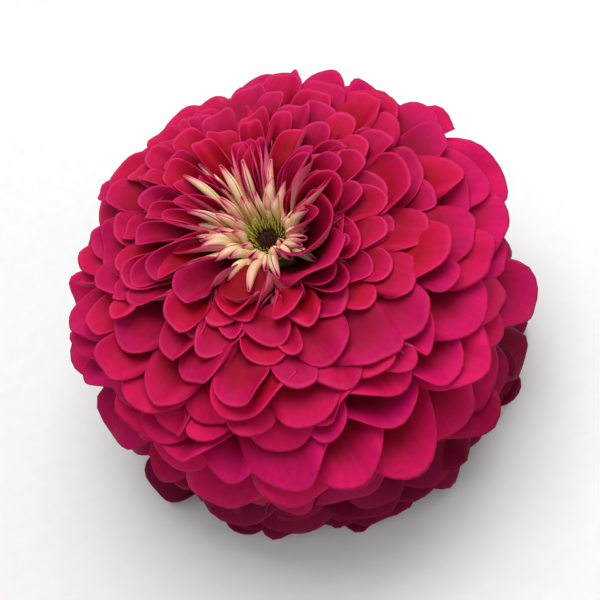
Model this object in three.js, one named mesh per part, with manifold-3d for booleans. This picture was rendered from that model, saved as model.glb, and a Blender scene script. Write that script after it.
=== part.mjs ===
// A large double zinnia bloom, cut with a short stub of stem and resting on its lowest petals.
// Millimetres, +Z up. The flower's axis is the Z axis, and the surface it rests on is z = 0.
//
// The head grows by one rule. Every floret and bract is a blade on a spiral of golden-angle
// steps, numbered from the oldest, outermost one. Each of its measures is read from a short list
// of key values that runs from the oldest to the youngest, and a seeded draw then nudges it.
import * as THREE from "three";
import { mergeVertices } from "three/addons/utils/BufferGeometryUtils.js";
import Module from "manifold-3d";

// ---- driving dimensions -------------------------------------------------------------------

const GOLDEN_ANGLE = 137.50776;

// Each list below runs from the oldest blade to the youngest: lengths in mm, angles in degrees.
// rise and fall are the slopes of the midrib at its root and tip, and curl is half of the angle
// that the blade's width wraps round.

// Ray florets: the crimson petals.
const RAY = {
  count: 146,
  firstStep: 0,
  seed: 0,
  baseRadius: [10.5, 10.2, 9.4, 8.2, 6.6],
  baseHeight: [29, 34, 38.5, 42.5, 45.5],
  tipRadius: [33, 40.5, 45, 46.5, 45, 41, 35.5, 28, 21],
  tipHeight: [-3.4, 7.5, 18, 29.5, 40, 48, 53, 56, 57],
  width: [17, 19.5, 20, 19.5, 18, 15.5, 12.4, 8.6, 5.6],
  rise: [-46, -50, -44, -34, -20, 0, 22, 38, 50],
  fall: [-84, -44, -14, 4, 12, 14, 16, 16, 18],
  curlAtBase: [14, 14, 16, 28, 62],
  curlAtTip: [8, 14, 18, 26, 58],
  twist: [4, 4, 5, 9, 14],
  lip: [0.2, 0.44, 0.5, 0.4, 0.14],
  claw: 0.3, // width at the root, as a share of the full width
  sunk: 1.6, // depth of the root inside what carries it
  late: { reach: -0.3, lift: 0, stand: 40, from: 0.7, to: 0.95 },
};

// Young florets: the cream ones round the eye, still rolled into quills.
const YOUNG = {
  count: 34,
  firstStep: RAY.count,
  seed: 50,
  baseRadius: [5.9, 5.2, 4.6],
  baseHeight: [46.7, 47.2, 47.6],
  tipRadius: [17.5, 13.5, 9.5, 6.2],
  tipHeight: [56.8, 57.2, 56, 53.4],
  width: [5.8, 5.4, 4.6, 3.4],
  rise: [60, 64, 70],
  fall: [22, 32, 46],
  curlAtBase: [150, 158, 165],
  curlAtTip: [125, 140, 150],
  twist: [40, 40, 36],
  lip: [0, 0],
  claw: 0.5,
  sunk: 0.4,
  late: { reach: -0.42, lift: -4.2, stand: 26, from: -1, to: 0 },
};

// Bracts: the green scales that overlap on the outside of the calyx.
const BRACT = {
  count: 26,
  firstStep: 0,
  seed: 90,
  baseRadius: [4.6, 8.2, 10.6],
  baseHeight: [12, 14.2, 17.6],
  tipRadius: [9.6, 12.2, 12.9],
  tipHeight: [16, 21, 26.8],
  width: [8.4, 9.4, 9],
  rise: [14, 38, 66],
  fall: [62, 80, 90],
  curlAtBase: [5, 5, 5],
  curlAtTip: [6, 5, 4],
  twist: [2, 2, 2],
  lip: [0, 0],
  claw: 0.5,
  sunk: 0.6,
  late: { reach: 0, lift: 0, stand: 0, from: 2, to: 3 },
};

// The side of the head that opens last, where the inner florets still stand up.
const LATE_SIDE = { azimuth: -66, power: 1.6, least: 0.7, extraRise: 16, extraWidth: 0.2 };

// How far a seeded draw may move each measure, either way. Reach and width move by a share of
// themselves, sway by a share of the length, and twist by a share of the kind's own twist.
const NUDGE = {
  azimuth: 3,
  reach: 0.03,
  height: 0.6,
  width: 0.08,
  rise: 2,
  fall: 6,
  curl: 4,
  twist: 1,
  sway: 0.02,
};
const CHANNELS = [...Object.keys(NUDGE), "lateness"];

// widest is the place along a blade where it reaches its full width, with widening the power of
// the curve there. Its end is round over at most roundEnd of the length, and blunt at the tip.
const BLADE = { thickness: 1.1, widest: 0.62, widening: 1.1, roundEnd: 0.45, bluntTip: 0.42 };
const UNCURLING = 0.8; // power of the curve from the curl at the root to that at the tip
const BLADE_STATIONS = [0, 0.3, 0.6, 0.84, 1];
// A petal's margin rolls back, at its end and along its sides, by a share of its half width.
const LIP = { from: 0.72, power: 2.2, sides: 0.6, sidesFrom: 0.25, sidesTo: 0.7 };
const QUILL_STATIONS = [0, 0.34, 0.7, 1];
const QUILL_SHRINK = 0.8; // the four sides of a quill, against its round section
const WRAP_LEAST = 4; // a blade bends round the axis at this radius or more
const BEND = 0.5; // length of the midrib's end tangents, as a share of its chord

// Profiles as [radius, height], from the bottom up. Each piece stands 0.3 clear of the one that
// carries it: the collar and the eye above the receptacle, and the receptacle in the calyx.
const RECEPTACLE = [[0, 23], [7, 23.3], [10.2, 25.6], [11.2, 29.5], [10.4, 37], [6.8, 45.7],
  [0, 45.7]];
const COLLAR = [[3.7, 46], [6.2, 46], [6.5, 46.6], [5.4, 47.6], [4.3, 48.1], [3.7, 48],
  [3.7, 46]];
const EYE = [[0, 46], [3.4, 46], [3.4, 47.5], [2.6, 48.5], [1.5, 48.4], [0, 47.1]];
const CUP = [[0, 11], [4.4, 11.2], [8.2, 13.6], [10.8, 17.6], [11.7, 22], [11.7, 25.4],
  [10.6, 25.4], [7.2, 23], [0, 22.7]];
const ROUND_SIDES = 16;

const CHAFF = {
  count: 30,
  radius: 0.55,
  length: 3.6,
  height: 47.3,
  fromRadius: 1.7,
  toRadius: 3.1,
  fromLean: -14,
  toLean: 16,
};
const SURFACE = { size: 200, depth: 20 }; // the block that trims what would reach below z = 0
const STEM = { top: 10.7, bottom: 1.5, topRadius: 2.7, bottomRadius: 2.5, sides: 16 };

const COLOURS = {
  ray_florets: { color: 0xa5163a, roughness: 0.62 },
  young_florets: { color: 0xe3c9a0, roughness: 0.6 },
  disc_florets: { color: 0xa8a03a, roughness: 0.75 },
  calyx: { color: 0x5f7a32, roughness: 0.7 },
  stem: { color: 0x6b8a3c, roughness: 0.7 },
};

// ---- the growth rule ----------------------------------------------------------------------

const rad = THREE.MathUtils.degToRad;

// A repeatable draw from 0 to 1 for one blade of a kind and one of its measures.
function draw(kind, blade, measure) {
  const channel = kind.seed + CHANNELS.indexOf(measure) + 1;
  const x = Math.sin(blade * 12.9898 + channel * 78.233) * 43758.5453;
  return x - Math.floor(x);
}

// Reads a list of equally spaced key values at t from 0 to 1, along a Catmull-Rom curve.
function along(keys, t) {
  const last = keys.length - 1;
  const x = THREE.MathUtils.clamp(t, 0, 1) * last;
  const i = Math.min(Math.floor(x), last - 1);
  const f = x - i;
  const [b, c] = [keys[i], keys[i + 1]];
  const a = i > 0 ? keys[i - 1] : 2 * b - c;
  const d = i + 2 <= last ? keys[i + 2] : 2 * c - b;
  const bend = (2 * a - 5 * b + 4 * c - d) * f * f + (3 * b - a - 3 * c + d) * f ** 3;
  return 0.5 * (2 * b + (c - a) * f + bend);
}

// How late a blade opens, from 0 to 1, by the side of the head it is on and by its age.
function lateness(kind, blade, age, azimuth) {
  const facing = 0.5 + 0.5 * Math.cos(azimuth - rad(LATE_SIDE.azimuth));
  const share = THREE.MathUtils.smoothstep(age, kind.late.from, kind.late.to);
  const own = THREE.MathUtils.lerp(LATE_SIDE.least, 1, draw(kind, blade, "lateness"));
  return facing ** LATE_SIDE.power * share * own;
}

// All the measures of one blade. Angles come out in radians.
function measures(kind, blade) {
  const age = blade / (kind.count - 1);
  const at = (name) => along(kind[name], age);
  const nudge = (name) => NUDGE[name] * (2 * draw(kind, blade, name) - 1);
  const azimuth = rad((kind.firstStep + blade) * GOLDEN_ANGLE + nudge("azimuth"));
  const late = lateness(kind, blade, age, azimuth);
  const reach = (1 + nudge("reach")) * (1 + kind.late.reach * late);
  const wide = 1 + nudge("width") + LATE_SIDE.extraWidth * late;
  return {
    azimuth,
    baseRadius: at("baseRadius"),
    baseHeight: at("baseHeight"),
    tipRadius: at("tipRadius") * reach,
    tipHeight: at("tipHeight") + nudge("height") + kind.late.lift * late,
    halfWidth: (at("width") * wide) / 2,
    rise: rad(at("rise") + nudge("rise") + LATE_SIDE.extraRise * late),
    fall: rad(at("fall") + nudge("fall") + kind.late.stand * late),
    curlAtBase: rad(at("curlAtBase")),
    curlAtTip: rad(at("curlAtTip") + nudge("curl")),
    twist: rad(at("twist") * nudge("twist")),
    sway: nudge("sway"),
    lip: at("lip"),
    claw: kind.claw,
    sunk: kind.sunk,
  };
}

// The midrib: a cubic from the root to the tip, in the plane through the flower's axis.
function midrib(m) {
  const root = new THREE.Vector2(m.baseRadius, m.baseHeight);
  const tip = new THREE.Vector2(m.tipRadius, m.tipHeight);
  const handle = BEND * root.distanceTo(tip);
  const leave = new THREE.Vector2(Math.cos(m.rise), Math.sin(m.rise));
  const arrive = new THREE.Vector2(Math.cos(m.fall), Math.sin(m.fall));
  return new THREE.CubicBezierCurve(
    root,
    root.clone().addScaledVector(leave, handle),
    tip.clone().addScaledVector(arrive, -handle),
    tip,
  );
}

// A point across and above the midrib at station u, turned by the twist and set in space.
function pointOn(m, rib, u, across, above) {
  const spot = rib.getPoint(u);
  const slope = rib.getTangent(u);
  if (u === 0) spot.addScaledVector(slope, -m.sunk);
  const turn = m.twist * u;
  const side = across * Math.cos(turn) - above * Math.sin(turn);
  const up = across * Math.sin(turn) + above * Math.cos(turn);
  const radius = spot.x - up * slope.y;
  const azimuth = m.azimuth + side / Math.max(radius, WRAP_LEAST);
  return new THREE.Vector3(
    radius * Math.cos(azimuth),
    radius * Math.sin(azimuth),
    spot.y + up * slope.x,
  );
}

// ---- solids -------------------------------------------------------------------------------

const wasm = await Module();
wasm.setup();

// A solid from corner points and triangles.
function solid(points, triangles) {
  const vertProperties = new Float32Array(points.flatMap((p) => [p.x, p.y, p.z]));
  const triVerts = new Uint32Array(triangles.flat());
  return new wasm.Manifold(new wasm.Mesh({ numProp: 3, vertProperties, triVerts }));
}

// A solid from a closed three.js geometry.
function solidOf(geometry) {
  const bare = geometry.clone();
  bare.deleteAttribute("normal");
  bare.deleteAttribute("uv");
  const merged = mergeVertices(bare, 1e-4);
  const spots = merged.getAttribute("position");
  const points = Array.from({ length: spots.count }, (_, i) =>
    new THREE.Vector3().fromBufferAttribute(spots, i));
  const index = Array.from(merged.getIndex().array);
  const triangles = [];
  for (let i = 0; i < index.length; i += 3) {
    const [a, b, c] = index.slice(i, i + 3);
    if (a !== b && b !== c && c !== a) triangles.push([a, b, c]);
  }
  return solid(points, triangles);
}

// A body of revolution about the flower's axis.
function turned(profile) {
  const points = profile.map(([radius, height]) => new THREE.Vector2(radius, height));
  const geometry = new THREE.LatheGeometry(points, ROUND_SIDES);
  return solidOf(geometry.rotateX(Math.PI / 2));
}

// A skin over rings of four points: edge, upper middle, edge, lower middle. The upper and the
// lower face are split into triangles alike, so a waved blade never cuts through itself.
function loft(rings) {
  const sides = 4;
  const id = (ring, side) => ring * sides + (side % sides);
  const triangles = [[id(0, 0), id(0, 1), id(0, 2)], [id(0, 0), id(0, 2), id(0, 3)]];
  for (let i = 0; i + 1 < rings.length; i += 1) {
    for (let j = 0; j < sides; j += 1) {
      const [a, b, c, d] = [id(i, j), id(i, j + 1), id(i + 1, j + 1), id(i + 1, j)];
      if (j % 2 === 0) triangles.push([a, c, b], [a, d, c]);
      else triangles.push([a, d, b], [b, d, c]);
    }
  }
  const end = rings.length - 1;
  triangles.push([id(end, 0), id(end, 2), id(end, 1)], [id(end, 0), id(end, 3), id(end, 2)]);
  return solid(rings.flat(), triangles);
}

// Half of the blade's width at u: a claw at the root, and a round or blunt end.
function halfWidthAt(m, u, length) {
  const grown = Math.sin((Math.min(u / BLADE.widest, 1) * Math.PI) / 2);
  const body = m.claw + (1 - m.claw) * grown ** BLADE.widening;
  const roundPart = Math.min(BLADE.roundEnd, m.halfWidth / length);
  const beyond = Math.max(0, (u - (1 - roundPart)) / roundPart);
  const end = Math.max(BLADE.bluntTip, Math.sqrt(Math.max(0, 1 - beyond ** 2)));
  return m.halfWidth * body * end;
}

// How far the blade's middle and its sides are rolled back at u, in mm.
function rolledBack(m, u) {
  const middle = m.lip * m.halfWidth * (Math.max(0, u - LIP.from) / (1 - LIP.from)) ** LIP.power;
  const hem = LIP.sides * m.lip * m.halfWidth;
  return { middle, sides: middle + hem * THREE.MathUtils.smoothstep(u, LIP.sidesFrom, LIP.sidesTo) };
}

// A thin cupped blade, thickest along its midrib.
function bladeSolid(m) {
  const rib = midrib(m);
  const length = rib.getLength();
  const half = BLADE.thickness / 2;
  const rings = BLADE_STATIONS.map((u) => {
    const w = halfWidthAt(m, u, length);
    const curl = m.curlAtBase + (m.curlAtTip - m.curlAtBase) * u ** UNCURLING;
    const edge = (w * Math.sin(curl)) / curl;
    const raised = (w * (1 - Math.cos(curl))) / curl;
    const drift = m.sway * length * u * u;
    const { middle, sides } = rolledBack(m, u);
    return [
      pointOn(m, rib, u, drift - edge, raised - sides),
      pointOn(m, rib, u, drift, half - middle),
      pointOn(m, rib, u, drift + edge, raised - sides),
      pointOn(m, rib, u, drift, -half - middle),
    ];
  });
  return loft(rings);
}

// A rolled floret: a slim four-sided quill that stands on the midrib.
function quillSolid(m) {
  const rib = midrib(m);
  const rings = QUILL_STATIONS.map((u) => {
    const w = halfWidthAt(m, u, rib.getLength());
    const curl = m.curlAtBase + (m.curlAtTip - m.curlAtBase) * u;
    const q = (w / curl) * QUILL_SHRINK;
    return [
      pointOn(m, rib, u, -q, q),
      pointOn(m, rib, u, 0, 2 * q),
      pointOn(m, rib, u, q, q),
      pointOn(m, rib, u, 0, 0),
    ];
  });
  return loft(rings);
}

// Every blade of a kind, made by one of the two functions above.
function grow(kind, make) {
  return Array.from({ length: kind.count }, (_, blade) => make(measures(kind, blade)));
}

// Joins solids and keeps the one large body: what it seals in is filled, loose scraps are left.
function fuse(solids) {
  const bodies = wasm.Manifold.union(solids).decompose();
  return bodies.reduce((best, body) => (body.volume() > best.volume() ? body : best));
}

// ---- the pieces ---------------------------------------------------------------------------

// The petals on the receptacle that carries them. What would reach below the surface is flat.
function rayFlorets() {
  const head = fuse([turned(RECEPTACLE), ...grow(RAY, bladeSolid)]);
  const { size, depth } = SURFACE;
  const below = new THREE.BoxGeometry(size, size, depth).translate(0, 0, -depth / 2);
  return fuse([head.subtract(solidOf(below))]);
}

function youngFlorets() {
  return fuse([turned(COLLAR), ...grow(YOUNG, quillSolid)]);
}

// The eye: a dark hollow in a low dome, fringed by pointed chaff.
function discFlorets() {
  const spikes = Array.from({ length: CHAFF.count }, (_, i) => {
    const share = (i + 0.5) / CHAFF.count;
    const radius = THREE.MathUtils.lerp(CHAFF.fromRadius, CHAFF.toRadius, share);
    const lean = THREE.MathUtils.lerp(CHAFF.fromLean, CHAFF.toLean, share);
    const spike = new THREE.ConeGeometry(CHAFF.radius, CHAFF.length, 3);
    spike.rotateX(Math.PI / 2).translate(0, 0, CHAFF.length / 2);
    spike.rotateY(rad(lean)).translate(radius, 0, CHAFF.height);
    return solidOf(spike.rotateZ(rad(i * GOLDEN_ANGLE)));
  });
  return fuse([turned(EYE), ...spikes]);
}

function calyx() {
  return fuse([turned(CUP), ...grow(BRACT, bladeSolid)]);
}

function stem() {
  const { top, bottom, topRadius, bottomRadius, sides } = STEM;
  const stub = new THREE.CylinderGeometry(topRadius, bottomRadius, top - bottom, sides);
  return solidOf(stub.rotateX(Math.PI / 2).translate(0, 0, (top + bottom) / 2));
}

function piece(name, body) {
  const { vertProperties, triVerts } = body.getMesh();
  const geometry = new THREE.BufferGeometry();
  geometry.setAttribute("position", new THREE.BufferAttribute(vertProperties, 3));
  geometry.setIndex(new THREE.BufferAttribute(triVerts, 1));
  const material = new THREE.MeshStandardMaterial({ ...COLOURS[name], metalness: 0 });
  const mesh = new THREE.Mesh(geometry, material);
  mesh.name = name;
  return mesh;
}

const zinnia = new THREE.Group();
zinnia.add(
  piece("ray_florets", rayFlorets()),
  piece("young_florets", youngFlorets()),
  piece("disc_florets", discFlorets()),
  piece("calyx", calyx()),
  piece("stem", stem()),
);

export default zinnia;
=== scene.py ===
"""Looks for a large double zinnia bloom, cut short and resting on its lowest petals.

The head grows by one rule: every floret and bract is a blade on a spiral of golden-angle steps,
numbered from the oldest, outermost one. Each of its measures is read from a short list of key
values that runs from the oldest to the youngest, and a seeded draw then nudges it. The lists are
in millimetres for a head of HEAD_REACH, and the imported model's box sets the scale and the place.
"""

from __future__ import annotations

import logging
import math
from dataclasses import dataclass, field
from enum import Enum
from functools import cached_property

import bpy
import numpy as np
from mathutils import Matrix, Vector
from mathutils.bvhtree import BVHTree

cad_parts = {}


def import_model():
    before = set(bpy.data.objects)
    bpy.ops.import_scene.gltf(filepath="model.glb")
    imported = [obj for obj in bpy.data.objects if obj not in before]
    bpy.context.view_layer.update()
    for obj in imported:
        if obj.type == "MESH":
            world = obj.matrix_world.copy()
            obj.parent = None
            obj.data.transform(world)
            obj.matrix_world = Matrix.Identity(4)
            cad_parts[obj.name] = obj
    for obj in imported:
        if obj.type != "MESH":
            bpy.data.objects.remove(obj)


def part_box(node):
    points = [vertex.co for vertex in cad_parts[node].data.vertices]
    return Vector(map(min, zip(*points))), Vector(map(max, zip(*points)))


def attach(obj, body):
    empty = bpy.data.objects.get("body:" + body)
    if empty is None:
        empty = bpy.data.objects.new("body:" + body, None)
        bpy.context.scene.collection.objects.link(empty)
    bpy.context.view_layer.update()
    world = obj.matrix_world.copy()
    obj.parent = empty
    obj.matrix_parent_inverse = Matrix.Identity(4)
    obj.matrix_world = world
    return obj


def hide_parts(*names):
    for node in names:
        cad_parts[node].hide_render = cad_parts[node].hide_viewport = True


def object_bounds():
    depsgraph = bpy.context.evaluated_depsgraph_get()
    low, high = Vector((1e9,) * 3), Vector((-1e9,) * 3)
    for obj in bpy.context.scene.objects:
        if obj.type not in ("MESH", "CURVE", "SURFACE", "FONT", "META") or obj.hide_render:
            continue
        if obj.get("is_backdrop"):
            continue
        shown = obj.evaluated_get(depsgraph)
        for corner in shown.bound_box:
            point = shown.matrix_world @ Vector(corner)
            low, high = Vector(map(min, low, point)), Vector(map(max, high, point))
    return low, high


LOG = logging.getLogger("zinnia")

BODY = "root"
PETAL_MAP = "petal"
GOLDEN_ANGLE = 137.50776
HEAD_REACH = 47.53  # how far the petals reach from the axis in the lists below, in mm

Colour = tuple[int, int, int]
Keys = tuple[float, ...]
Piece = bpy.types.Object
Profile = tuple[tuple[float, float], ...]
Run = tuple[tuple[float, Colour], ...]
Socket = bpy.types.NodeSocket


# ---- numbers ---------------------------------------------------------------------------------


def draw(blade: int, channel: int) -> float:
    """A repeatable draw from 0 to 1.

    Args:
        blade: The blade's number on its spiral.
        channel: A number for the measure that is drawn.

    Returns:
        The draw, the same on every run.
    """
    x = math.sin(blade * 12.9898 + channel * 78.233) * 43758.5453
    return x - math.floor(x)


def read_keys(keys: Keys, t: float) -> float:
    """Reads equally spaced key values along a Catmull-Rom curve.

    Args:
        keys: The key values.
        t: The place among them, from 0 to 1.

    Returns:
        The value at that place.
    """
    last = len(keys) - 1
    x = min(max(t, 0.0), 1.0) * last
    i = min(int(x), last - 1)
    f = x - i
    b, c = keys[i], keys[i + 1]
    a = keys[i - 1] if i > 0 else 2 * b - c
    d = keys[i + 2] if i + 2 <= last else 2 * c - b
    bend = (2 * a - 5 * b + 4 * c - d) * f * f + (3 * b - a - 3 * c + d) * f**3
    return 0.5 * (2 * b + (c - a) * f + bend)


def ease(low: float, high: float, x: np.ndarray | float) -> np.ndarray | float:
    """A smooth step from 0 at low to 1 at high."""
    t = np.clip((x - low) / (high - low), 0.0, 1.0)
    return t * t * (3.0 - 2.0 * t)


def linear(colour: Colour) -> tuple[float, float, float, float]:
    """Turns a screen colour of 0 to 255 into the linear colour that a shader takes."""
    parts = [c / 255.0 for c in colour]
    return (*[p / 12.92 if p <= 0.04045 else ((p + 0.055) / 1.055) ** 2.4 for p in parts], 1.0)


# ---- where the bloom stands ------------------------------------------------------------------


@dataclass(frozen=True)
class Site:
    """The axis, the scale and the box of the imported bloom, all in metres."""

    axis: Vector
    unit: float
    low: Vector
    high: Vector

    @classmethod
    def from_frame(cls) -> Site:
        """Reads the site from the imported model's boxes.

        Returns:
            The site, with its axis through the middle of the stem and its floor at the box's foot.
        """
        low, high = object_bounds()
        stem_low, stem_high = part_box("stem")
        ray_low, ray_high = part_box("ray_florets")
        reach = (ray_high.x - ray_low.x + ray_high.y - ray_low.y) / 4
        middle = (stem_low + stem_high) / 2
        return cls(Vector((middle.x, middle.y, low.z)), reach / HEAD_REACH, low, high)

    def place(self, points: np.ndarray) -> np.ndarray:
        """Turns points of the lists, in mm round the axis, into metres in the frame."""
        return points * self.unit + np.array(self.axis)


# ---- the growth rule -------------------------------------------------------------------------

LATE_AZIMUTH = math.radians(-66)  # the side of the head that opens last
LATE_POWER = 1.6  # how narrow that side is
LATE_LEAST = 0.86  # the least that a draw leaves of a blade's lateness
LATE_RISE = 16.0  # how much steeper a late blade leaves its root, in degrees
LATE_WIDTH = 0.2  # how much wider it is, as a share

UNRUFFLED = 0.4  # the least share of its ruffle that a draw leaves a blade
FLATTER = 0.8  # how much more a flatter blade rolls back, as a share
SKEW = 0.24  # how far a blade's end may lean to one side
POINTED, BLUNTER = 1.75, 0.9  # the power of the most pointed end's outline, and what a draw adds
MOST_ROUNDED = 0.45  # the most of a blade's length that its rounded end takes
WIDEST = 0.62  # where along a blade it reaches its full width
TAPER_FROM = 0.66  # where along a blade its taper starts
NOTCH_HALF = 0.24  # half the width of the notch in a blade's end, as a share of the blade
RAGGED = 0.3  # how uneven a blade's end is, as a share of its ruffle
SHORTER_WAVE = 0.6  # how high the second, shorter wave of an end or a margin is beside the first

BEND = 0.5  # length of the midrib's end tangents, as a share of its chord
BOWED = 1.1  # a blade's length, as a share of its chord
FOOT = 0.12  # how much of a blade's length is drawn back into what carries it
GROOVE_HALF = 0.38  # half the width of the groove along a blade's midrib, as a share of the blade
LIP_FROM = 0.72  # where along a blade its lip starts to roll back
HEM_FROM = 0.55  # where across a blade its sides start to roll back
HEM = 0.35  # how far the sides roll back beside the lip
LEAST_CURL = 1e-3  # a curl in radians that is as good as flat
LIP_POWER = 2.2
FLOOR_GAP = 0.22  # how close a blade's middle comes to the surface, in mm
SPLAY = 0.7  # how far a blade that meets the surface slides outwards, as a share of its lift


@dataclass(frozen=True)
class Late:
    """How a kind of blade differs on the side of the head that opens last."""

    reach: float = 0.0  # how much further out its tips lie, as a share
    lift: float = 0.0  # how much higher they lie, in mm
    stand: float = 0.0  # how much more they turn up, in degrees
    curl: float = 0.0  # how much more they are cupped, in degrees
    from_age: float = 2.0  # the age from which this shows
    to_age: float = 3.0  # the age from which it shows in full


@dataclass(frozen=True)
class Nudge:
    """How far a seeded draw may move each measure, either way."""

    azimuth: float = 5.0
    reach: float = 0.05
    height: float = 1.4
    width: float = 0.17
    rise: float = 4.0
    fall: float = 13.0
    curl: float = 20.0
    sway: float = 0.1


@dataclass(frozen=True)
class Blade:
    """One petal, young floret or bract, ready to be laid out.

    Its measures are those of its kind, in mm and radians, but for wave, which shifts the waves of
    its margin, blunt, which is the power of its end's outline, and skew, which leans its end.
    """

    age: float
    tone: float
    azimuth: float
    root: tuple[float, float]
    tip: tuple[float, float]
    half_width: float
    rise: float
    fall: float
    curl_at_base: float
    curl_at_tip: float
    twist: float
    sway: float
    claw: float
    sunk: float
    notch: float
    ruffle: float
    wave: float
    reflex: float
    blunt: float
    groove: float
    skew: float
    rounding: float
    taper: float

    def midrib(self, u: np.ndarray) -> tuple[np.ndarray, np.ndarray, np.ndarray, np.ndarray]:
        """Follows the midrib, a cubic from the root to the tip.

        Args:
            u: How far along the blade each point is.

        Returns:
            The points' distances from the axis, their heights, and the two parts of the slope.
        """
        (r0, z0), (r3, z3) = self.root, self.tip
        handle = BEND * math.hypot(r3 - r0, z3 - z0)
        r1, z1 = r0 + handle * math.cos(self.rise), z0 + handle * math.sin(self.rise)
        r2, z2 = r3 - handle * math.cos(self.fall), z3 - handle * math.sin(self.fall)
        v = 1.0 - u
        a, b, c, d = v**3, 3 * v * v * u, 3 * v * u * u, u**3
        radius = a * r0 + b * r1 + c * r2 + d * r3
        height = a * z0 + b * z1 + c * z2 + d * z3
        e, f, g = 3 * v * v, 6 * v * u, 3 * u * u
        dr = e * (r1 - r0) + f * (r2 - r1) + g * (r3 - r2)
        dz = e * (z1 - z0) + f * (z2 - z1) + g * (z3 - z2)
        size = np.hypot(dr, dz)
        dr, dz = dr / size, dz / size
        sink = self.sunk * ease(FOOT, 0.0, u)
        return radius - sink * dr, height - sink * dz, dr, dz

    def outline(self, u: np.ndarray, v: np.ndarray, length: float) -> tuple[np.ndarray, np.ndarray]:
        """Draws the blade's flat shape: narrow at its claw, with a rounded and uneven end.

        Args:
            u: How far along the blade each point is, from 0 at the root to 1 at the margin.
            v: How far across it is, from -1 to 1.
            length: The blade's length, in mm.

        Returns:
            The points' places along the midrib, and half the blade's width at them in mm.
        """
        end = self.rounding * min(MOST_ROUNDED, self.half_width / length)
        off = np.abs(v + self.skew * (1.0 - v * v))
        back = end * (1.0 - (1.0 - off**self.blunt) ** (1 / self.blunt))
        out = u * (1.0 - back) - self.notch * np.exp(-((v / NOTCH_HALF) ** 2)) * u**6
        teeth = np.sin(5.0 * v + self.wave) + SHORTER_WAVE * np.sin(9.0 * v - self.wave)
        out = out + RAGGED * self.ruffle / length * teeth * u**6
        full = np.sin(np.clip(out / WIDEST, 0, 1) * math.pi / 2) ** 1.1
        half = self.half_width * (self.claw + (1 - self.claw) * full)
        return out, half * (1.0 - self.taper * ease(TAPER_FROM, 1.0, out) ** 1.5)

    def section(
        self, u: np.ndarray, v: np.ndarray, out: np.ndarray, half: np.ndarray
    ) -> tuple[np.ndarray, np.ndarray]:
        """Bends the blade across: cupped and grooved, with a lip and sides that roll back.

        Args:
            u: How far along the blade each point is.
            v: How far across it is, from -1 to 1.
            out: The points' places along the midrib.
            half: Half the blade's width at them, in mm.

        Returns:
            How far each point lies to the side of the midrib and above it, in mm.
        """
        curl = self.curl_at_base + (self.curl_at_tip - self.curl_at_base) * np.clip(out, 0, 1) ** 0.8
        curl = np.where(np.abs(curl) < LEAST_CURL, LEAST_CURL, curl)
        above = half * (1.0 - np.cos(curl * v)) / curl
        above = above + self.groove * half * np.minimum(np.abs(v) / GROOVE_HALF, 1.0)
        margin = np.maximum(u**5, ease(0.55, 1.0, np.abs(v)) * u)
        lip = np.clip((u - LIP_FROM) / (1.0 - LIP_FROM), 0.0, 1.0) ** LIP_POWER
        hem = np.clip((np.abs(v) - HEM_FROM) / (1.0 - HEM_FROM), 0.0, 1.0) ** LIP_POWER
        above = above - self.reflex * self.half_width * (lip + HEM * hem * ease(0.25, 0.7, u))
        waves = np.sin(6.5 * out + 3.1 * v + self.wave)
        waves = waves + SHORTER_WAVE * np.sin(7.0 * v - 2.3 * self.wave)
        return half * np.sin(curl * v) / curl, above + self.ruffle * margin * waves

    def points(self, u: np.ndarray, v: np.ndarray) -> np.ndarray:
        """Lays out the blade's middle surface.

        Args:
            u: How far along the blade each point is, from 0 at the root to 1 at the margin.
            v: How far across it is, from -1 to 1.

        Returns:
            One row of x, y and z for each point, in mm round the axis.
        """
        length = BOWED * math.hypot(self.tip[0] - self.root[0], self.tip[1] - self.root[1])
        out, half = self.outline(u, v, length)
        across, above = self.section(u, v, out, half)
        across = across + self.sway * length * out * out
        turn = self.twist * out
        side = across * np.cos(turn) - above * np.sin(turn)
        up = across * np.sin(turn) + above * np.cos(turn)
        radius, height, dr, dz = self.midrib(out)
        radius, height = radius - up * dz, height + up * dr
        spare = np.maximum(FLOOR_GAP - height, 0.0)
        radius, height = radius + SPLAY * spare, height + spare
        cos, sin = math.cos(self.azimuth), math.sin(self.azimuth)
        return np.stack([radius * cos - side * sin, radius * sin + side * cos, height], axis=-1)


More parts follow.
